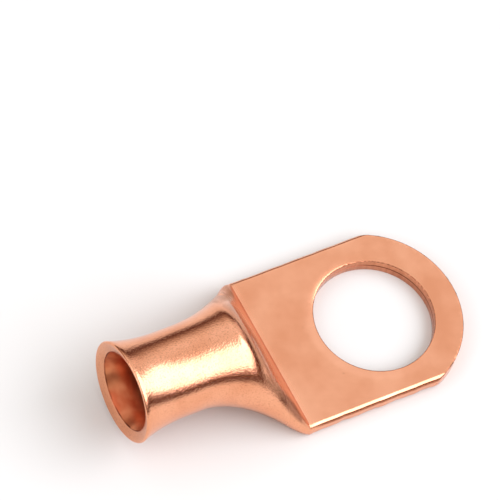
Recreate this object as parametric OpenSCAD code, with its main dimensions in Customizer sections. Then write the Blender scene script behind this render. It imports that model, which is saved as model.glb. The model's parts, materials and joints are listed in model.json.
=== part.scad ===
// Copper cable lug, made from one length of tube.
// One end is belled as the barrel for the wire. The other is pressed flat into a
// two-layer tongue, cut round at its tip and punched for the stud.
// Millimetres. The origin is the centre of the stud hole, on the face that is bolted down.
// +X points to the tip, the wire goes in from -X, and +Z is up through the stud hole.

/* [Tongue] */
// Width of the tongue over its two folded sides
tongue_width = 19.2; // [15:0.1:24]
// Thickness of one of the tongue's two pressed layers
layer_thickness = 0.94; // [0.6:0.01:1.3]
// How round the folded sides are, from nearly square to nearly a half round
fold_share = 0.64; // [0.2:0.02:0.9]
// Diameter of the stud that the tongue is bolted to
stud_diameter = 12.7; // [8:0.1:15]
// Play of the stud in its hole, on the diameter
stud_play = 0.7; // [0.2:0.1:1.2]
// Metal between the stud hole and the tip
tip_margin = 3.1; // [2:0.1:6]
// How much more the radius of the round tip is than half the tongue's width
tip_spread = 0.5; // [0.1:0.1:4]
// Metal between the stud hole and the crease at the tongue's heel
heel_margin = 6.15; // [3:0.05:12]
// Width of the ring round the stud hole where the punch drew the top face down
draw_width = 1.3; // [0.3:0.1:2]
// How far it drew the face down at the hole's edge
draw_depth = 0.13; // [0.02:0.01:0.3]
// Depth of the fine seam where the two layers meet, at the tip and in the stud hole
seam_depth = 0.1; // [0.05:0.05:0.3]

/* [Barrel] */
// Diameter of the bore that takes the wire
bore_diameter = 7.1; // [5:0.1:9]
// Wall of the barrel at its waist
barrel_wall = 1.25; // [0.8:0.05:1.8]
// Length of the straight bore, inside the bell
bore_length = 7; // [4:0.1:10]
// Length of the outside of the waist that is straight
waist_length = 1.5; // [0.5:0.1:10]
// Height of the mouth's lowest point above the bolted face
mouth_lift = 1.1; // [0.05:0.05:3]

/* [Bell mouth] */
// How far the bell stands out from the waist, all round
bell_flare = 1; // [0.4:0.05:2]
// Length of the bell on the outside
bell_length = 6.4; // [3:0.1:8]
// How late the outside of the bell opens, from gradual to sudden
bell_power = 2.4; // [1.5:0.1:4]
// Width of the ring that the mouth's end face shows
face_width = 1.3; // [1:0.05:2]
// How far the end face dishes in towards the bore
face_dish = 0.4; // [0:0.05:0.5]
// Length of the bell on the inside
inner_bell_length = 3.2; // [1.5:0.1:4]
// Rounding of the mouth's outer edge
lip_radius = 0.2; // [0.05:0.05:0.4]

/* [Shoulder] */
// Length over which the tube flattens, from the waist to the crease
shoulder_length = 11.5; // [8:0.1:16]
// Share of the shoulder over which the top keeps the barrel's height
ridge_share = 0.58; // [0.3:0.02:0.65]
// Softness of the bend from there down to the crease
ridge_bend = 0.24; // [0.1:0.02:0.3]
// How late the sides spread to the tongue's width, from gradual to sudden
side_power = 1.9; // [1.3:0.1:3]
// How late the tube's widest line drops to the middle of the tongue
drop_power = 0.6; // [0.5:0.05:1.2]
// How late the round section turns into two flats
press_power = 4; // [1.5:0.1:6]
// Softness of the crease across the tongue's heel
crease_softness = 0.35; // [0.1:0.05:1]
// Softness of the tongue's two heel corners
corner_softness = 0.8; // [0.2:0.05:1.2]

/* [Detail] */
// Points round each section of the shoulder
around = 48; // [32:8:96]
// Sections along the shoulder
sections = 22; // [16:1:40]

/* [Hidden] */
$fn = 96;
copper = "#e79a70";
join = 0.02;                 // step that keeps one surface's edge just inside the next
over = 1;                    // reach of a cutter past the face that it cuts
seam_gap = 0.05;             // half the gap of the seam, where the two layers meet
side_end = 15;               // angle at which a pressed section's straight side ends
cavity_blend = 0.33;         // share of the cavity over which the bore takes the shoulder's form
bell_steps = 14;
lip_steps = 5;
draw_steps = 6;

tongue_thickness = 2 * layer_thickness;
hole_radius = (stud_diameter + stud_play) / 2;
tip_x = hole_radius + tip_margin;
tip_radius = tongue_width / 2 + tip_spread;
tip_centre_x = tip_x - tip_radius;
crease_x = -hole_radius - heel_margin;

bore_radius = bore_diameter / 2;
waist_radius = bore_radius + barrel_wall;
mouth_radius = waist_radius + bell_flare;
barrel_z = mouth_radius + mouth_lift;
shoulder_x = crease_x - shoulder_length;
waist_x = shoulder_x - waist_length;
mouth_x = waist_x - bell_length;
bore_start_x = mouth_x + face_dish + inner_bell_length;
bore_end_x = bore_start_x + bore_length;

function mix(a, b, t) = a + (b - a) * t;
function ease(t) = t * t * (3 - 2 * t);

// a value that falls to nought and stays there, with its corner rounded over 2 * soft
function soft_floor(v, soft) = v < -soft ? 0 : v > soft ? v : pow(v + soft, 2) / (4 * soft);

// falls from rise to nought as t goes from 0 to 1, later for a higher power,
// and lands on its floor softly at t = 1
function late_fall(t, rise, power, soft) =
    let (reach = pow(rise / (rise + soft), 1 / power))
    soft_floor(rise * (1 - pow(t / reach, power)), soft);

// ---- outside of the shoulder at t, from 0 at the waist to 1 at the crease ----
function half_width(t) =
    tongue_width / 2 - late_fall(t, tongue_width / 2 - waist_radius, side_power, corner_softness);
function top_z(t) =
    let (
        rise = barrel_z + waist_radius - tongue_thickness,
        drop = soft_floor((t - ridge_share) / (1 - ridge_share), ridge_bend)
    ) tongue_thickness + soft_floor(rise - (rise + crease_softness) * drop, crease_softness);
function bottom_z(t) = mix(barrel_z - waist_radius, 0, ease(t));
function widest_z(t) = mix(layer_thickness, barrel_z, pow(1 - ease(t), drop_power));
function flatness(t) = pow(t, press_power);
function wall(t) = mix(barrel_wall, layer_thickness, ease(t));

// One point of a section, at angle a about its widest line. It is an ellipse's quarter for a
// round tube, turning into a flat, a rounded edge and half a straight side as flat goes from
// 0 to 1. w is the half width there, and h the height to the top or the depth to the bottom.
// The whole outline is drawn in by inset.
function section_point(a, w, h, flat, inset) =
    let (
        side = cos(a) < 0 ? -1 : 1,
        lean = side > 0 ? (a > 180 ? a - 360 : a) : 180 - a,
        up = lean < 0 ? -1 : 1,
        edge = min(max(abs(lean) - side_end, 0) / (45 - side_end), 1) * 90,
        climb = min(abs(lean) / side_end, 1),
        run = max(abs(lean) - 45, 0) / 45,
        r = h * fold_share - inset,
        oval = [(w - inset) * cos(a), (h - inset) * sin(a)],
        pressed = [side * ((w - inset - r) * (1 - run) + r * cos(edge)),
                   up * (h * (1 - fold_share) * climb + r * sin(edge))]
    ) mix(oval, pressed, flat);

// the points of the section at x, from its half width and its lowest, widest and highest levels
function section(x, w, low, widest, high, flat, inset = 0) =
    [for (k = [0 : around - 1])
        let (
            a = k * 360 / around,
            middle = min(max(widest, low + seam_gap), high - seam_gap),
            p = section_point(a, w, a > 180 ? middle - low : high - middle, flat, inset)
        ) [x, p[0], middle + p[1]]];

// a closed skin over a list of sections, each with the same number of points
module skin(rings) {
    n = len(rings[0]);
    last = len(rings) - 1;
    points = [for (ring = rings) each ring];
    sides = [for (j = [0 : last - 1]) for (k = [0 : n - 1])
        let (a = j * n + k, b = j * n + (k + 1) % n, c = b + n, d = a + n)
        each [[a, c, b], [a, d, c]]];
    start_cap = [for (k = [0 : n - 1]) k];
    end_cap = [for (k = [0 : n - 1]) last * n + n - 1 - k];
    polyhedron(points = points, faces = concat([start_cap, end_cap], sides), convexity = 6);
}

// ---- barrel ----
function bell_outside(t) = waist_radius + bell_flare * pow(t, bell_power);
function bell_inside(t) = bore_radius + (mouth_radius - face_width - bore_radius) * t * t;

module along_x() {
    translate([0, 0, barrel_z]) rotate([0, 90, 0]) rotate_extrude() children();
}

module barrel_outside() {
    lip_x = mouth_x + lip_radius;
    lip_t = (waist_x - lip_x) / bell_length;
    lip_top = bell_outside(lip_t);
    along_x() polygon(concat(
        [[0, mouth_x]],
        [for (k = [0 : lip_steps])
            let (a = 90 * k / lip_steps)
            [lip_top - lip_radius + lip_radius * sin(a), lip_x - lip_radius * cos(a)]],
        [for (k = [1 : bell_steps])
            let (t = lip_t * (1 - k / bell_steps))
            [bell_outside(t), waist_x - bell_length * t]],
        [[waist_radius, shoulder_x], [0, shoulder_x]]
    ));
}

module barrel_bore() {
    face_inner = mouth_radius - face_width;
    along_x() polygon(concat(
        [[0, mouth_x - over], [mouth_radius + over, mouth_x - over], [mouth_radius, mouth_x],
         [face_inner, mouth_x + face_dish]],
        [for (k = [1 : bell_steps])
            let (t = 1 - k / bell_steps)
            [bell_inside(t), bore_start_x - inner_bell_length * t]],
        [[bore_radius, bore_end_x], [0, bore_end_x]]
    ));
}

// ---- shoulder and tongue ----
function pressed_section(t, x, inset = 0) =
    section(x, half_width(t), bottom_z(t), widest_z(t), top_z(t), flatness(t), inset);

// the tube from its waist to the crease, and on as the tongue to beyond the tip
module pressed_tube() {
    skin([
        for (j = [0 : sections])
            let (t = j / sections)
            pressed_section(t, mix(shoulder_x, crease_x, t), j == 0 ? join : 0),
        pressed_section(1, tip_x + over)
    ]);
}

// the tube's inside, from the end of the bore to where its two walls meet
module shoulder_cavity() {
    start_t = (bore_end_x - shoulder_x) / shoulder_length;
    narrow = bore_radius - join;
    cavity = [for (j = [0 : sections])
        let (t = mix(start_t, 1, j / sections), low = bottom_z(t) + wall(t), high = top_z(t) - wall(t),
             spread = ease(min(1, j / sections / cavity_blend)))
        if (high - low > 2 * seam_gap)
            section(mix(shoulder_x, crease_x, t),
                    mix(narrow, half_width(t) - wall(t), spread),
                    mix(barrel_z - narrow, low, spread),
                    mix(barrel_z, widest_z(t), spread),
                    mix(barrel_z + narrow, high, spread), flatness(t))];
    skin(cavity);
}

// ---- tip, seam and stud hole ----
// what the round cut takes off at the tip
module tip_waste() {
    difference() {
        translate([tip_centre_x, -tongue_width, -over])
            cube([tip_radius + 2 * over, 2 * tongue_width, tongue_thickness + 2 * over]);
        translate([tip_centre_x, 0, -2 * over])
            cylinder(r = tip_radius, h = tongue_thickness + 4 * over);
    }
}

// a fine groove round a vertical wall of this radius, cut outwards or, with a side of -1, inwards
module seam_groove(radius, side) {
    rotate_extrude() polygon([
        [radius - side * join, tongue_thickness / 2 - seam_gap],
        [radius + side * seam_depth, tongue_thickness / 2],
        [radius - side * join, tongue_thickness / 2 + seam_gap]
    ]);
}

// the seam shows at the tip only between the two folds
module tip_seam() {
    inside = tongue_width - 2 * layer_thickness;
    intersection() {
        translate([tip_centre_x, 0, 0]) seam_groove(tip_radius, -1);
        translate([tip_centre_x, -inside / 2, 0]) cube([2 * tip_radius, inside, tongue_thickness]);
    }
}

// the punched hole, with the shallow dip that the punch left where it went in
module stud_hole() {
    translate([0, 0, -over]) cylinder(r = hole_radius, h = tongue_thickness + 2 * over);
    rotate_extrude() polygon(concat(
        [[0, tongue_thickness - draw_depth]],
        [for (k = [0 : draw_steps])
            let (t = k / draw_steps)
            [hole_radius + draw_width * t, tongue_thickness - draw_depth * pow(1 - t, 2)]],
        [[hole_radius + draw_width, tongue_thickness + over], [0, tongue_thickness + over]]
    ));
}

module cable_lug() {
    color(copper) difference() {
        union() {
            barrel_outside();
            pressed_tube();
        }
        tip_waste();
        barrel_bore();
        shoulder_cavity();
        stud_hole();
        seam_groove(hole_radius, 1);
        tip_seam();
    }
}

cable_lug();
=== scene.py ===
import bpy
import bmesh
import json
from math import atan2, cos, pi, radians, sin, tau
from mathutils import Matrix, Vector


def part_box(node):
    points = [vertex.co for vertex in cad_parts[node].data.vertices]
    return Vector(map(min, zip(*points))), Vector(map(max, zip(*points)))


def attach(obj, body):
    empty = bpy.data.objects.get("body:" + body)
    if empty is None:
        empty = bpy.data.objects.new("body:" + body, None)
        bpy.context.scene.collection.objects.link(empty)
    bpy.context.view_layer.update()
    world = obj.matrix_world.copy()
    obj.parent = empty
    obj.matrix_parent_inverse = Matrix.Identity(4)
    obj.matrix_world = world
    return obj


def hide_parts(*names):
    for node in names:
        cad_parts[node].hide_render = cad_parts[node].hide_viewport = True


# Copper cable lug: one length of tube, belled at one end, pressed flat and punched at the other
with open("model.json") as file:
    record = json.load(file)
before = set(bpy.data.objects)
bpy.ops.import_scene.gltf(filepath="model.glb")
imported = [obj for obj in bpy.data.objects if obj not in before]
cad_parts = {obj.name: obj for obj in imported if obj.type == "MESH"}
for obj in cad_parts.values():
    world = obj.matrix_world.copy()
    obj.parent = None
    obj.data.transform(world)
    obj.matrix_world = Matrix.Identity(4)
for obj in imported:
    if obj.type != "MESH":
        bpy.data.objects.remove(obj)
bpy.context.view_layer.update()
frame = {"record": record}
mounts = {m["name"]: m for m in frame["record"]["mounts"]}
boxLow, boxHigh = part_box("cable_lug")
mm = 0.001
print("frame loaded")


def onlySelect(piece):
    if bpy.context.object and bpy.context.object.mode != "OBJECT":
        bpy.ops.object.mode_set(mode="OBJECT")
    bpy.ops.object.select_all(action="DESELECT")
    piece.select_set(True)
    bpy.context.view_layer.objects.active = piece


def editAll(piece, select="SELECT"):
    onlySelect(piece)
    bpy.ops.object.mode_set(mode="EDIT")
    bpy.ops.mesh.select_mode(type="VERT")
    bpy.ops.mesh.select_all(action=select)


def turnFacesOut():  # and leave edit mode
    bpy.ops.mesh.select_all(action="SELECT")
    bpy.ops.mesh.normals_make_consistent(inside=False)
    bpy.ops.object.mode_set(mode="OBJECT")


def applyModifier(piece, kind, **settings):
    onlySelect(piece)
    modifier = piece.modifiers.new(kind.title(), kind)
    for key, value in settings.items():
        setattr(modifier, key, value)
    bpy.ops.object.modifier_apply(modifier=modifier.name)


def mix(a, b, t):
    return a + (b - a) * t


def within(v, low=0, high=1):
    return min(max(v, low), high)


def ease(t):
    return t * t * (3 - 2 * t)


# Sizes are in millimetres. Those that other parts fit come from the frame.
lug = {
    "holeRadius": mounts["stud_hole"]["dims"]["r_mm"],
    "boreRadius": mounts["barrel_bore"]["dims"]["r_mm"],
    "barrelZ": mounts["barrel_bore"]["pos_m"][2] / mm,
    "thickness": mounts["washer_face"]["pos_m"][2] / mm,
    "mouthX": boxLow.x / mm,
    "tipX": boxHigh.x / mm,
    "halfWidth": boxHigh.y / mm,
    "tipRadius": 10.1,
    "creaseX": -12.85,  # where the shoulder comes down onto the tongue
    "shoulderLength": 11.5,
    "wall": 1.25,
    "bellFlare": 1.0,
    "bellLength": 6.4,
    "bellPower": 2.4,  # more opens the bell nearer the mouth
    "faceWidth": 1.3,
    "faceDish": 0.4,
    "innerBellLength": 3.2,
    "lipRadius": 0.2,
    "boreLength": 7.0,
    "ridgeEnd": 0.56,  # share of the shoulder where its top starts down
    "ridgeBend": 0.28,
    "sidePower": 1.9,  # more widens the sides later
    "dropPower": 0.6,  # less keeps the widest point high for longer
    "pressPower": 4,  # more keeps the section oval for longer
    "cavityBlend": 3,  # more takes up the shoulder's shape sooner, past the bore's end
    "leastCavity": 0.1,  # below this height the cavity is pressed shut
    "leastHalf": 0.05,  # of a section, above and below its widest point
    "creaseSoftness": 0.3,
    "cornerSoftness": 0.8,
    "foldShare": 0.62,  # radius of the folds, as a share of half the thickness
    "foldSideEnd": pi / 12,
    "foldWave": 0.14,  # how far the folded sides wander in
    "foldMean": 0.5,
    "foldTopShare": 0.35,  # of the wander at the underside, left at the top
    "foldWaves": ((0.25, 1.9, 1), (0.15, 4.7, 2), (0.1, 9.1, 0)),  # size, turn per mm, shift by side
    "foldReach": 0.7,
    "foldEvenRings": 4,  # the wander grows over these rings, from none at the crease
    "tipSpare": 2,  # beyond the tip, for the trimming
    "around": 144,
    "cavitySteps": 24, "bellSteps": 14, "lipSteps": 6, "shoulderSteps": 78, "tongueSteps": 48,
    "crowding": 1.5,  # more crowds the shoulder's rings towards the crease
}
lug["waistRadius"] = lug["boreRadius"] + lug["wall"]
lug["mouthRadius"] = lug["waistRadius"] + lug["bellFlare"]
lug["shoulderX"] = lug["creaseX"] - lug["shoulderLength"]
lug["waistX"] = lug["mouthX"] + lug["bellLength"]
lug["boreStartX"] = lug["mouthX"] + lug["faceDish"] + lug["innerBellLength"]
lug["boreEndX"] = lug["boreStartX"] + lug["boreLength"]


def softFloor(v, soft):  # v above zero and 0 below it, with a bend as wide as soft on either side
    if v < -soft:
        return 0
    return v if v > soft else (v + soft) ** 2 / (4 * soft)


# The shoulder's outline by its share t, from the round barrel at 0 to the crease at 1
def halfWidthAt(t):
    spread, soft = lug["halfWidth"] - lug["waistRadius"], lug["cornerSoftness"]
    reach = (spread / (spread + soft)) ** (1 / lug["sidePower"])
    return lug["halfWidth"] - softFloor(spread * (1 - (t / reach) ** lug["sidePower"]), soft)


def topAt(t):
    rise, soft = lug["barrelZ"] + lug["waistRadius"] - lug["thickness"], lug["creaseSoftness"]
    drop = softFloor((t - lug["ridgeEnd"]) / (1 - lug["ridgeEnd"]), lug["ridgeBend"])
    return lug["thickness"] + softFloor(rise * (1 - drop) - soft * drop, soft)


def bottomAt(t):
    return mix(lug["barrelZ"] - lug["waistRadius"], 0, ease(t))


def widestAt(t):
    return mix(lug["thickness"] / 2, lug["barrelZ"], (1 - ease(t)) ** lug["dropPower"])


def wallAt(t):
    return mix(lug["wall"], lug["thickness"] / 2, ease(t))


def sectionPoint(a, w, h, flat):  # on an oval at flat 0, and on a bar with folded sides at flat 1
    side = -1 if cos(a) < 0 else 1
    lean = (a - tau if a > pi else a) if side > 0 else pi - a
    up = -1 if lean < 0 else 1
    sideEnd, foldEnd = lug["foldSideEnd"], pi / 4
    edge = min(max(abs(lean) - sideEnd, 0) / (foldEnd - sideEnd), 1) * pi / 2
    climb = min(abs(lean) / sideEnd, 1)
    run = max(abs(lean) - foldEnd, 0) / foldEnd
    r = h * lug["foldShare"]
    pressed = (side * ((w - r) * (1 - run) + r * cos(edge)), up * ((h - r) * climb + r * sin(edge)))
    return mix(w * cos(a), pressed[0], flat), mix(h * sin(a), pressed[1], flat)


def section(x, w, low, widest, high, flat):
    middle = within(widest, low + lug["leastHalf"], high - lug["leastHalf"])
    points = []
    for k in range(lug["around"]):
        a = k * tau / lug["around"]
        y, z = sectionPoint(a, w, middle - low if a > pi else high - middle, flat)
        points.append(Vector((x, y, middle + z)) * mm)
    return points


def roundSection(x, radius):
    z = lug["barrelZ"]
    return section(x, radius, z - radius, z, z + radius, 0)


def cavityRings():  # round at the bore's end, then one wall inside the shoulder until it is pressed shut
    rings = []
    r, z, steps = lug["boreRadius"], lug["barrelZ"], lug["cavitySteps"]
    startT = (lug["boreEndX"] - lug["shoulderX"]) / lug["shoulderLength"]
    for j in range(steps + 1):
        t = mix(startT, 1, j / steps)
        spread = ease(min(1, lug["cavityBlend"] * j / steps))
        low, high = bottomAt(t) + wallAt(t), topAt(t) - wallAt(t)
        if high - low < lug["leastCavity"]:
            break
        rings.append(section(mix(lug["shoulderX"], lug["creaseX"], t),
                             mix(r, halfWidthAt(t) - wallAt(t), spread), mix(z - r, low, spread),
                             mix(z, widestAt(t), spread), mix(z + r, high, spread),
                             t ** lug["pressPower"]))
    return rings[::-1]


def mouthRings():  # inner bell, dished end face, lip and outer bell
    rings = [roundSection(lug["boreStartX"], lug["boreRadius"])]
    faceInner = lug["mouthRadius"] - lug["faceWidth"]
    for k in range(1, lug["bellSteps"] + 1):
        t = k / lug["bellSteps"]
        rings.append(roundSection(lug["boreStartX"] - lug["innerBellLength"] * t,
                                  mix(lug["boreRadius"], faceInner, t * t)))
    lip = lug["lipRadius"]
    lipX = lug["mouthX"] + lip
    lipT = (lug["waistX"] - lipX) / lug["bellLength"]
    lipTop = lug["waistRadius"] + lug["bellFlare"] * lipT ** lug["bellPower"]
    for k in range(lug["lipSteps"] + 1):
        a = radians(90 * k / lug["lipSteps"])
        rings.append(roundSection(lipX - lip * cos(a), lipTop - lip + lip * sin(a)))
    for k in range(1, lug["bellSteps"] + 1):
        t = lipT * (1 - k / lug["bellSteps"])
        rings.append(roundSection(lug["waistX"] - lug["bellLength"] * t,
                                  lug["waistRadius"] + lug["bellFlare"] * t ** lug["bellPower"]))
    return rings


def shoulderRings():
    rings = []
    for j in range(lug["shoulderSteps"] + 1):
        t = 1 - (1 - j / lug["shoulderSteps"]) ** lug["crowding"]
        rings.append(section(mix(lug["shoulderX"], lug["creaseX"], t), halfWidthAt(t), bottomAt(t),
                             widestAt(t), topAt(t), t ** lug["pressPower"]))
    return rings


def unevenFold(p, share):  # draws the side in a little, more at the underside than at the top
    x, y, z = p / mm
    side = 1 if y > 0 else -1
    near = ease(within((abs(y) - lug["halfWidth"] + lug["foldReach"]) / lug["foldReach"]))
    low = ease(within(1 - z / lug["thickness"]))
    wave = lug["foldMean"]
    for size, turnPerMm, shift in lug["foldWaves"]:
        wave += size * sin(turnPerMm * x + shift * side)
    return Vector((x, y - side * lug["foldWave"] * wave * near * (lug["foldTopShare"] + low) * share, z)) * mm


def tongueRings():
    rings = []
    length = lug["tipX"] + lug["tipSpare"] - lug["creaseX"]
    for j in range(1, lug["tongueSteps"] + 1):
        flat = section(lug["creaseX"] + length * j / lug["tongueSteps"], lug["halfWidth"], 0,
                       lug["thickness"] / 2, lug["thickness"], 1)
        rings.append([unevenFold(p, min(1, j / lug["foldEvenRings"])) for p in flat])
    return rings


def settleRing(piece, points):  # the selected ring goes onto the points, matched by angle
    mesh = bmesh.from_edit_mesh(piece.data)
    ring = [v for v in mesh.verts if v.select]
    centre = sum((v.co for v in ring), Vector()) / len(ring)
    # the small turn keeps the first point from sorting last
    ring.sort(key=lambda v: (atan2(v.co.z - centre.z, v.co.y - centre.y) + 1e-4) % tau)
    for v, p in zip(ring, points):
        v.co = p
    bmesh.update_edit_mesh(piece.data)


def modelTube():  # one skin, pulled from the pressed end of the cavity out over the mouth and on to the tip
    rings = cavityRings() + mouthRings() + shoulderRings() + tongueRings()
    bpy.ops.object.select_all(action="DESELECT")
    bpy.ops.mesh.primitive_circle_add(vertices=lug["around"], radius=lug["boreRadius"] * mm,
                                      fill_type="NOTHING", rotation=(pi / 2, 0, pi / 2))
    piece = bpy.context.object
    piece.name = "pressedLug"
    bpy.ops.object.transform_apply(location=True, rotation=True, scale=True)
    editAll(piece)
    settleRing(piece, rings[0])
    for points in rings[1:]:
        bpy.ops.mesh.extrude_region_move()
        settleRing(piece, points)
    bpy.ops.mesh.edge_face_add()
    bpy.ops.mesh.select_all(action="DESELECT")
    bpy.ops.mesh.select_non_manifold()
    bpy.ops.mesh.edge_face_add()
    turnFacesOut()
    return piece


def turnedCutter(name, centreX, profile, sides):  # profile: radius and height of each step, upwards
    bpy.ops.object.select_all(action="DESELECT")
    radius, z = profile[0]
    bpy.ops.mesh.primitive_circle_add(vertices=sides, radius=radius * mm, fill_type="NGON",
                                      location=(centreX * mm, 0, z * mm))
    cutter = bpy.context.object
    cutter.name = name
    editAll(cutter)
    for nextRadius, nextZ in profile[1:]:
        scale = nextRadius / radius
        bpy.ops.mesh.extrude_region_move(TRANSFORM_OT_translate={"value": (0, 0, (nextZ - z) * mm)})
        bpy.ops.transform.resize(value=(scale, scale, 1))
        radius, z = nextRadius, nextZ
    turnFacesOut()
    return cutter


punch = {
    "drawWidth": 1.5, "drawDepth": 0.13, "drawSteps": 8,  # the dip that the punch draws round the hole
    "drawLift": 0.004, "drawSpare": 1.02,  # the dip runs out just above the face
    "seamDepth": 0.15, "seamWidth": 0.13,  # the groove between the two layers
    "sides": 160, "tipSides": 256,
    "edgeRadius": 0.05, "edgeSegments": 3, "edgeAngle": 40, "seamShare": 0.25,
    "spare": 1, "dieHeight": 20, "dieLength": 60,
    "roundFrom": 0.5,  # past the crease
    "mergeDistance": 0.001, "normalWeight": 50,
    "smoothAngle": 36,  # keeps the mouth's inner edge crisp
}


def cutProfile(radius, depth):  # up to the top of the seam's groove
    middle, half = lug["thickness"] / 2, punch["seamWidth"] / 2
    return [(radius, -punch["spare"]), (radius, middle - half), (radius + depth, middle), (radius, middle + half)]


def punchHole(piece):
    r, t = lug["holeRadius"], lug["thickness"]
    profile = cutProfile(r, punch["seamDepth"])
    for k in range(punch["drawSteps"] + 1):
        step = k / punch["drawSteps"]
        dip = punch["drawDepth"] * (1 - step) ** 2
        profile.append((r + punch["drawWidth"] * step, t + punch["drawLift"] - dip))
    profile.append((r + punch["drawWidth"] * punch["drawSpare"], t + punch["spare"]))
    cutter = turnedCutter("punch", 0, profile, punch["sides"])
    applyModifier(piece, "BOOLEAN", operation="DIFFERENCE", object=cutter, solver="EXACT")
    bpy.data.objects.remove(cutter)


def trimTip(piece):
    r = lug["tipRadius"]
    profile = cutProfile(r, -punch["seamDepth"]) + [(r, punch["dieHeight"])]
    cutter = turnedCutter("tipDie", lug["tipX"] - r, profile, punch["tipSides"])
    editAll(cutter, "DESELECT")
    mesh = bmesh.from_edit_mesh(cutter.data)
    for v in mesh.verts:
        v.select_set(v.co.x < -1e-6)  # the back half of the die
    mesh.select_flush(True)
    bpy.ops.transform.translate(value=(-punch["dieLength"] * mm, 0, 0))  # stretched back over the whole lug
    bpy.ops.object.mode_set(mode="OBJECT")
    applyModifier(piece, "BOOLEAN", operation="INTERSECT", object=cutter, solver="EXACT")
    bpy.data.objects.remove(cutter)


def roundCutEdges(piece):
    editAll(piece, "DESELECT")
    bpy.ops.mesh.select_mode(type="EDGE")
    mesh = bmesh.from_edit_mesh(piece.data)
    t, tongueStart = lug["thickness"] * mm, lug["creaseX"] * mm + punch["roundFrom"] * mm
    seamLow, seamHigh = punch["seamShare"] * t, (1 - punch["seamShare"]) * t
    for edge in mesh.edges:
        atSeam = all(seamLow < v.co.z < seamHigh for v in edge.verts)
        onTongue = all(v.co.x > tongueStart for v in edge.verts)
        if onTongue and not atSeam and len(edge.link_faces) == 2:
            if edge.calc_face_angle() > radians(punch["edgeAngle"]):
                edge.select_set(True)
    bpy.ops.mesh.bevel(offset=punch["edgeRadius"] * mm, segments=punch["edgeSegments"], affect="EDGES")
    bpy.ops.object.mode_set(mode="OBJECT")


def finishMesh(piece):
    editAll(piece)
    bpy.ops.mesh.remove_doubles(threshold=punch["mergeDistance"] * mm)
    turnFacesOut()
    bpy.ops.object.shade_smooth_by_angle(angle=radians(punch["smoothAngle"]))
    applyModifier(piece, "WEIGHTED_NORMAL", keep_sharp=True, weight=punch["normalWeight"])


def linear(hexColor):
    channels = [int(hexColor[i:i + 2], 16) / 255 for i in (1, 3, 5)]
    return tuple(c / 12.92 if c <= 0.04045 else ((c + 0.055) / 1.055) ** 2.4 for c in channels) + (1,)


def addNode(tree, kind, inputs=None, **settings):  # a node given as an input links its first output
    node = tree.nodes.new("ShaderNode" + kind)
    for key, value in settings.items():
        setattr(node, key, value)
    for name, value in (inputs or {}).items():
        socket = name if isinstance(name, int) else next(
            i for i, s in enumerate(node.inputs) if s.name == name and s.enabled)
        if isinstance(value, bpy.types.Node):
            value = next(s for s in value.outputs if s.enabled)
        if isinstance(value, bpy.types.NodeSocket):
            tree.links.new(value, node.inputs[socket])
        else:
            node.inputs[socket].default_value = value
    return node


def newMaterial(name):
    material = bpy.data.materials.new(name)
    material.use_nodes = True
    material.node_tree.nodes.clear()
    return material, material.node_tree


# Copper tube, pressed, punched and tumbled: a pale pink satin metal with broad bright highlights,
# grainier on the barrel than on the tongue, duller beside the crease, dark along the cut edges, with painted
# shade along the folded sides.
# The real grain and specks are too fine to show, so they are drawn as coarse as they need to be.
copper = {
    "color": "#f3ad87", "barrelRoughness": 0.15, "tongueRoughness": 0.17,
    "barrelFade": (0.5, -2),  # from the crease, where the tongue's finish turns into the barrel's
    "pressedRoughness": 0.15, "pressedAt": -1.2, "pressedWidth": 2.4, "pressedCore": 0.9,
    "grainSize": 0.19, "grainHeight": 0.023, "tongueGrain": 0.2,
    "waveSize": 5.0, "waveHeight": 0.03,
    "darker": "#e79d76", "blotchSize": 4.5, "blotchRange": (0.35, 0.68),
    "speck": "#a9603f", "speckSize": 0.17, "speckRange": (0.52, 0.72), "speckShare": 0.4,
    "pit": "#b0694a", "pitSpacing": 1.3, "pitSize": 0.045, "pitSoftness": 1.6,
    "pitLuck": (0.8, 0.82), "pitShare": 0.5,
    "noises": (("grain", 2, 0.5), ("blotch", 3, 0.55), ("wave", 1, 0.4), ("speck", 2, 0.6)),  # detail, roughness
    "ringCore": 0.3,  # share of a ring's width that is dark all through
}


def bandMask(tree, value, centre, width, core):  # 1 within core of the centre and 0 beyond width
    off = addNode(tree, "Math", {0: value, 1: centre * mm}, operation="SUBTRACT")
    off = addNode(tree, "Math", {0: off}, operation="ABSOLUTE")
    return addNode(tree, "MapRange", {"Value": off, "From Min": width * mm, "From Max": core * mm})


def ringMask(tree, place, centreX, radius, width):  # a band round an upright axis
    flat = addNode(tree, "VectorMath", {0: place, 1: (1, 1, 0)}, operation="MULTIPLY")
    arm = addNode(tree, "VectorMath", {0: flat, 1: (centreX * mm, 0, 0)}, operation="SUBTRACT")
    reach = addNode(tree, "VectorMath", {0: arm}, operation="LENGTH")
    return bandMask(tree, reach, radius, width, width * copper["ringCore"])


cutEdge = {
    "color": "#7d3f28", "rimWidth": 0.08, "tipRimShare": 0.7, "rimOffset": 0.03,
    "rimDepth": (0.25, 0.16),  # below the top face
    "wornRange": (0.35, 0.62), "wornShare": (0.25, 0.95),
    "wallOffset": 0.08, "wallWidth": 0.3, "seamWidth": 0.13, "seamCore": 0.05, "seamShare": 0.9,
    "fromCrease": 3, "fromTipCentre": 2.6, "fade": 0.5,
}


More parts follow.
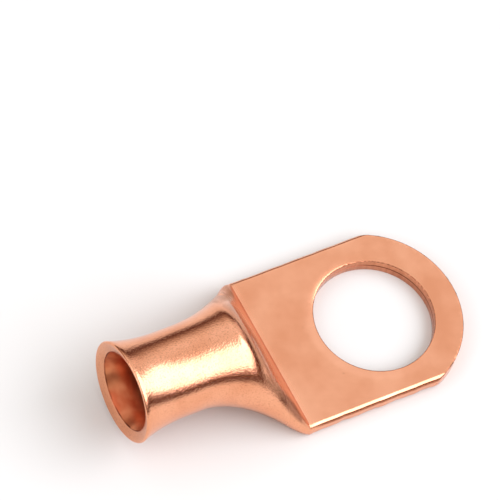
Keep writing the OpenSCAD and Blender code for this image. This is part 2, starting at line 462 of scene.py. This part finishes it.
def cutEdges(tree, place, breakNoise):  # a broken dark line along the top edge and a seam halfway down, at hole and tip
    apart = addNode(tree, "SeparateXYZ", {0: place})
    x, z = apart.outputs["X"], apart.outputs["Z"]
    t, tipCentre = lug["thickness"], lug["tipX"] - lug["tipRadius"]
    beyond = []
    for startX in (lug["creaseX"] + cutEdge["fromCrease"], tipCentre + cutEdge["fromTipCentre"]):
        beyond.append(addNode(tree, "MapRange", {"Value": x, "From Min": startX * mm,
                                                 "From Max": (startX + cutEdge["fade"]) * mm}))
    onTongue, atTip = beyond
    rings = []
    for offset, holeWidth, tipWidth in (
            (cutEdge["rimOffset"], cutEdge["rimWidth"], cutEdge["rimWidth"] * cutEdge["tipRimShare"]),
            (cutEdge["wallOffset"], cutEdge["wallWidth"], cutEdge["wallWidth"])):
        hole = ringMask(tree, place, 0, lug["holeRadius"] + offset, holeWidth)
        tip = ringMask(tree, place, tipCentre, lug["tipRadius"] - offset, tipWidth)
        tip = addNode(tree, "Math", {0: atTip, 1: tip}, operation="MULTIPLY")
        rings.append(addNode(tree, "Math", {0: hole, 1: tip}, operation="MAXIMUM"))
    rims, walls = rings
    rimLow, rimHigh = cutEdge["rimDepth"]
    onTop = addNode(tree, "MapRange", {"Value": z, "From Min": (t - rimLow) * mm, "From Max": (t - rimHigh) * mm})
    rims = addNode(tree, "Math", {0: rims, 1: onTop}, operation="MULTIPLY")
    atSeam = bandMask(tree, z, t / 2, cutEdge["seamWidth"], cutEdge["seamCore"])
    seam = addNode(tree, "Math", {0: walls, 1: atSeam}, operation="MULTIPLY")
    breakFrom, breakTo = cutEdge["wornRange"]
    least, most = cutEdge["wornShare"]
    breaks = addNode(tree, "MapRange", {"Value": breakNoise, "From Min": breakFrom, "From Max": breakTo,
                                      "To Min": least, "To Max": most})
    rims = addNode(tree, "Math", {0: rims, 1: breaks}, operation="MULTIPLY")
    seam = addNode(tree, "Math", {0: seam, 1: cutEdge["seamShare"]}, operation="MULTIPLY")
    lines = addNode(tree, "Math", {0: rims, 1: seam}, operation="MAXIMUM")
    return addNode(tree, "Math", {0: onTongue, 1: lines}, operation="MULTIPLY")


# painted shade along each folded side, partly dirt in the fold
fold = {
    "color": "#8e4a2e", "z": 1.55, "width": 0.2, "core": 0.09,
    "sideRange": (0.6, 0.5),  # in from the widest
    "startRange": (0.3, 1.5),  # from the crease
    "wornRange": (0.3, 0.6), "wornShare": (0.45, 0.85),
}


def paintedFoldShade(tree, place, breakNoise):  # painted shade: a dark band along each folded side, where its rounding reflects the dark surroundings, partly dirt in the fold; broken up by the grain
    x, y, z = addNode(tree, "SeparateXYZ", {0: place}).outputs
    aside = addNode(tree, "Math", {0: y}, operation="ABSOLUTE")
    sideFrom, sideTo = fold["sideRange"]
    startFrom, startTo = fold["startRange"]
    breakFrom, breakTo = fold["wornRange"]
    least, most = fold["wornShare"]
    atSide = addNode(tree, "MapRange", {"Value": aside, "From Min": (lug["halfWidth"] - sideFrom) * mm,
                                        "From Max": (lug["halfWidth"] - sideTo) * mm})
    atHeight = bandMask(tree, z, fold["z"], fold["width"], fold["core"])
    onTongue = addNode(tree, "MapRange", {"Value": x, "From Min": (lug["creaseX"] + startFrom) * mm,
                                          "From Max": (lug["creaseX"] + startTo) * mm})
    breaks = addNode(tree, "MapRange", {"Value": breakNoise, "From Min": breakFrom, "From Max": breakTo,
                                      "To Min": least, "To Max": most})
    line = atSide
    for mask in (atHeight, onTongue, breaks):
        line = addNode(tree, "Math", {0: line, 1: mask}, operation="MULTIPLY")
    return line


holeWall = {
    "color": "#b9714f", "width": 0.06, "depth": (0.16, 0.24),  # below the top face
    "streakSize": 0.35, "streakStretch": (1, 1, 0.12), "streakRange": (0.3, 0.7), "streakShare": (0.35, 0.85),
}


def punchedWall(tree, place):  # darker below a narrow band at the top, in upright streaks along the punch's stroke
    z = addNode(tree, "SeparateXYZ", {0: place}).outputs["Z"]
    drawn = addNode(tree, "VectorMath", {0: place, 1: holeWall["streakStretch"]}, operation="MULTIPLY")
    streak = addNode(tree, "TexNoise", {"Vector": drawn, "Scale": 1 / (holeWall["streakSize"] * mm),
                                        "Detail": 2, "Roughness": 0.6})
    high, low = holeWall["depth"]
    below = addNode(tree, "MapRange", {"Value": z, "From Min": (lug["thickness"] - high) * mm,
                                       "From Max": (lug["thickness"] - low) * mm})
    streakFrom, streakTo = holeWall["streakRange"]
    least, most = holeWall["streakShare"]
    streaks = addNode(tree, "MapRange", {"Value": streak, "From Min": streakFrom, "From Max": streakTo,
                                         "To Min": least, "To Max": most})
    wall = ringMask(tree, place, 0, lug["holeRadius"], holeWall["width"])
    for mask in (below, streaks):
        wall = addNode(tree, "Math", {0: wall, 1: mask}, operation="MULTIPLY")
    return wall


def tumbledCopper():
    material, tree = newMaterial("tumbledCopper")
    place = addNode(tree, "TexCoord").outputs["Object"]
    x = addNode(tree, "SeparateXYZ", {0: place}).outputs["X"]
    crease = lug["creaseX"] * mm
    fadeFrom, fadeTo = copper["barrelFade"]
    onBarrel = addNode(tree, "MapRange", {"Value": x, "From Min": crease + fadeFrom * mm,
                                          "From Max": crease + fadeTo * mm}, interpolation_type="SMOOTHSTEP")
    noise = {}
    for name, detail, breakUp in copper["noises"]:
        noise[name] = addNode(tree, "TexNoise", {"Vector": place, "Scale": 1 / (copper[name + "Size"] * mm),
                                                 "Detail": detail, "Roughness": breakUp})

    blotchFrom, blotchTo = copper["blotchRange"]
    blotches = addNode(tree, "MapRange", {"Value": noise["blotch"], "From Min": blotchFrom, "From Max": blotchTo})
    pits = addNode(tree, "TexVoronoi", {"Vector": place, "Scale": 1 / (copper["pitSpacing"] * mm)})
    pitted = addNode(tree, "MapRange", {"Value": pits, "From Min": copper["pitSize"],
                                        "From Max": copper["pitSize"] * copper["pitSoftness"],
                                        "To Min": 1, "To Max": 0})
    luckFrom, luckTo = copper["pitLuck"]
    luck = addNode(tree, "SeparateColor", {0: pits.outputs["Color"]})
    rare = addNode(tree, "MapRange", {"Value": luck, "From Min": luckFrom, "From Max": luckTo,
                                      "To Max": copper["pitShare"]})
    pitted = addNode(tree, "Math", {0: pitted, 1: rare}, operation="MULTIPLY")
    speckFrom, speckTo = copper["speckRange"]
    specks = addNode(tree, "MapRange", {"Value": noise["speck"], "From Min": speckFrom, "From Max": speckTo,
                                        "To Max": copper["speckShare"]})
    specks = addNode(tree, "Math", {0: specks, 1: onBarrel}, operation="MULTIPLY")
    base = linear(copper["color"])
    for color, mask in ((copper["darker"], blotches), (copper["pit"], pitted), (copper["speck"], specks),
                        (holeWall["color"], punchedWall(tree, place)),
                        (cutEdge["color"], cutEdges(tree, place, noise["grain"])),
                        (fold["color"], paintedFoldShade(tree, place, noise["grain"]))):
        base = addNode(tree, "Mix", {"Factor": mask, "A": base, "B": linear(color)}, data_type="RGBA")

    finish = addNode(tree, "MapRange", {"Value": onBarrel, "To Min": copper["tongueRoughness"],
                                        "To Max": copper["barrelRoughness"]})
    beside = addNode(tree, "Math", {0: x, 1: crease + copper["pressedAt"] * mm}, operation="SUBTRACT")
    beside = addNode(tree, "Math", {0: beside}, operation="ABSOLUTE")
    pressed = addNode(tree, "MapRange", {"Value": beside, "From Min": copper["pressedWidth"] * mm,
                                         "From Max": copper["pressedCore"] * mm,
                                         "To Max": copper["pressedRoughness"]}, interpolation_type="SMOOTHSTEP")
    roughness = addNode(tree, "Math", {0: finish, 1: pressed}, operation="ADD")
    strength = addNode(tree, "MapRange", {"Value": onBarrel, "To Min": copper["tongueGrain"], "To Max": 1})
    waves = addNode(tree, "Bump", {"Height": noise["wave"], "Distance": copper["waveHeight"] * mm})
    grains = addNode(tree, "Bump", {"Height": noise["grain"], "Strength": strength, "Normal": waves,
                                    "Distance": copper["grainHeight"] * mm})
    shader = addNode(tree, "BsdfPrincipled", {"Base Color": base, "Metallic": 1.0, "Roughness": roughness,
                                              "Normal": grains})
    addNode(tree, "OutputMaterial", {"Surface": shader})
    return material


# The same copper inside, out of the tumbling's reach: duller and patchy, with faint streaks along the tube.
# Its colour is redder and darker than outside, partly from annealing and partly painted shade of the deep inside;
# its lighter patches are painted soft reflections, and a painted shadow rings the inside of the mouth. The
# streaks are drawn coarser too.
bore = {
    # painted shade: darker and redder than the copper outside, partly from annealing; the lighter patches between
    # the darker ones are painted soft reflections
    "color": "#d58357", "roughness": 0.3, "metallic": 0.8,
    "scorched": "#ba5a35", "patchSize": 2.2, "patchRange": (0.35, 0.65),
    "streakSize": 0.22, "streakStretch": (1, 0.15, 0.15), "streakHeight": 0.012,
    # a painted shadow just inside the mouth's edge
    "burr": 0.16, "burrCore": 0.4, "burrColor": "#5e2415", "burrRange": (0.38, 0.6),
    "leastTilt": -0.5,  # a face that looks further back than this is the end face
}


def annealedShadedBore():
    material, tree = newMaterial("annealedCopperBore")
    place = addNode(tree, "TexCoord").outputs["Object"]
    x = addNode(tree, "SeparateXYZ", {0: place}).outputs["X"]
    along = addNode(tree, "VectorMath", {0: place, 1: bore["streakStretch"]}, operation="MULTIPLY")
    streak = addNode(tree, "TexNoise", {"Vector": along, "Scale": 1 / (bore["streakSize"] * mm),
                                        "Detail": 3, "Roughness": 0.6})
    patch = addNode(tree, "TexNoise", {"Vector": place, "Scale": 1 / (bore["patchSize"] * mm),
                                       "Detail": 2, "Roughness": 0.5})
    patchFrom, patchTo = bore["patchRange"]
    patches = addNode(tree, "MapRange", {"Value": patch, "From Min": patchFrom, "From Max": patchTo})
    # painted shadow: a dark ring just inside the mouth's edge, broken up by the streaks
    rimX = (lug["mouthX"] + lug["faceDish"]) * mm
    shadowFrom, shadowTo = bore["burrRange"]
    atMouth = addNode(tree, "MapRange", {"Value": x, "From Min": rimX + bore["burr"] * mm,
                                         "From Max": rimX + bore["burr"] * bore["burrCore"] * mm})
    broken = addNode(tree, "MapRange", {"Value": streak, "From Min": shadowFrom, "From Max": shadowTo})
    mouthShadow = addNode(tree, "Math", {0: atMouth, 1: broken}, operation="MULTIPLY")
    base = linear(bore["color"])
    for color, mask in ((bore["scorched"], patches), (bore["burrColor"], mouthShadow)):
        base = addNode(tree, "Mix", {"Factor": mask, "A": base, "B": linear(color)}, data_type="RGBA")
    bump = addNode(tree, "Bump", {"Height": streak, "Distance": bore["streakHeight"] * mm})
    shader = addNode(tree, "BsdfPrincipled", {"Base Color": base, "Metallic": bore["metallic"],
                                              "Roughness": bore["roughness"], "Normal": bump})
    addNode(tree, "OutputMaterial", {"Surface": shader})
    return material


def lineBore(piece):  # the inside is what faces the middle of its own section, short of the end faces
    for polygon in piece.data.polygons:
        centre = polygon.center / mm
        t = within((centre.x - lug["shoulderX"]) / lug["shoulderLength"])
        middle = Vector((centre.x, 0, (bottomAt(t) + topAt(t)) / 2))
        facesIn = polygon.normal.dot(centre - middle) < 0 and polygon.normal.x > bore["leastTilt"]
        if centre.x < lug["creaseX"] and facesIn:
            polygon.material_index = 1


piece = modelTube()
trimTip(piece)
punchHole(piece)
roundCutEdges(piece)
finishMesh(piece)
piece.data.materials.clear()
piece.data.materials.append(tumbledCopper())
piece.data.materials.append(annealedShadedBore())
lineBore(piece)
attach(piece, "root")
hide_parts("cable_lug")
print("lug modelled:", len(piece.data.polygons), "faces")

paper = {"color": "#dfddd6", "roughness": 0.9, "size": 8, "z": -0.01 * mm}


def floorPaper():  # uncoated white paper: matt, with a soft shadow and no reflection
    material, tree = newMaterial("whitePaper")
    shader = addNode(tree, "BsdfPrincipled", {"Base Color": linear(paper["color"]),
                                              "Roughness": paper["roughness"]})
    addNode(tree, "OutputMaterial", {"Surface": shader})
    return material


bpy.ops.object.select_all(action="DESELECT")
bpy.ops.mesh.primitive_plane_add(size=paper["size"], location=(0, 0, paper["z"]))
floor = bpy.context.object
floor.name = "floor"
floor.data.materials.append(floorPaper())

view = {"azimuth": -46.08, "elevation": 58.67, "roll": 21.03, "distance": 0.8652,
        "target": (-0.00812, 0.01307, 0), "lens": 576, "sensorWidth": 36, "clip": (0.01, 50)}
turn = (Matrix.Rotation(radians(view["azimuth"]), 4, "Z")
        @ Matrix.Rotation(radians(90 - view["elevation"]), 4, "X")
        @ Matrix.Rotation(radians(view["roll"]), 4, "Z"))
bpy.ops.object.camera_add()
camera = bpy.context.object
camera.matrix_world = Matrix.Translation(Vector(view["target"]) + turn @ Vector((0, 0, view["distance"]))) @ turn
camera.data.lens = view["lens"]
camera.data.sensor_width = view["sensorWidth"]
camera.data.clip_start, camera.data.clip_end = view["clip"]
bpy.context.scene.camera = camera

lampColor = (0.97, 0.98, 1.12)
lamps = {
    "softbox": {"towards": (0.51, -0.455, 0.73), "distance": 0.8, "length": 0.7, "width": 1.0, "radiance": 2.7},
    "fillCard": {"towards": (0.86, 0.38, 0.34), "distance": 0.8, "length": 0.3, "width": 0.4, "radiance": 0.6},
    "sideCard": {"towards": (-0.88, 0.05, 0.45), "distance": 0.6, "length": 0.4, "width": 0.5, "radiance": 1.8},
}
for name, lamp in lamps.items():
    bpy.ops.object.light_add(type="AREA")
    light = bpy.context.object
    light.name = name
    towards = Vector(lamp["towards"]).normalized()
    aim = towards.to_track_quat("Z", "Y").to_matrix().to_4x4()
    light.matrix_world = Matrix.Translation(towards * lamp["distance"]) @ aim
    light.data.shape = "RECTANGLE"
    light.data.size = lamp["width"]
    light.data.size_y = lamp["length"]
    light.data.color = lampColor
    light.data.energy = lamp["radiance"] * pi * lamp["length"] * lamp["width"]

# The world's colour by the upward part of its direction: dark low down, for the metal's dark bands
skyStops = ((0.2, (0.12, 0.05, 0.042, 1)), (0.38, (0.48, 0.4, 0.36, 1)), (0.62, (1.03, 1.05, 1.08, 1)),
            (0.78, (1.08, 1.12, 1.2, 1)), (0.85, (0.97, 0.96, 0.97, 1)))
world = bpy.data.worlds.new("studio")
bpy.context.scene.world = world
world.use_nodes = True
tree = world.node_tree
tree.nodes.clear()
direction = addNode(tree, "TexCoord").outputs["Generated"]
height = addNode(tree, "SeparateXYZ", {0: direction}).outputs["Z"]
sky = addNode(tree, "ValToRGB", {0: height})
while len(sky.color_ramp.elements) < len(skyStops):
    sky.color_ramp.elements.new(0.5)
for element, (position, color) in zip(sky.color_ramp.elements, skyStops):
    element.position = position
    element.color = color
background = addNode(tree, "Background", {"Color": sky, "Strength": 1.0})
addNode(tree, "OutputWorld", {"Surface": background})
bpy.context.scene.view_settings.view_transform = "Standard"
print("floor, light and camera placed")
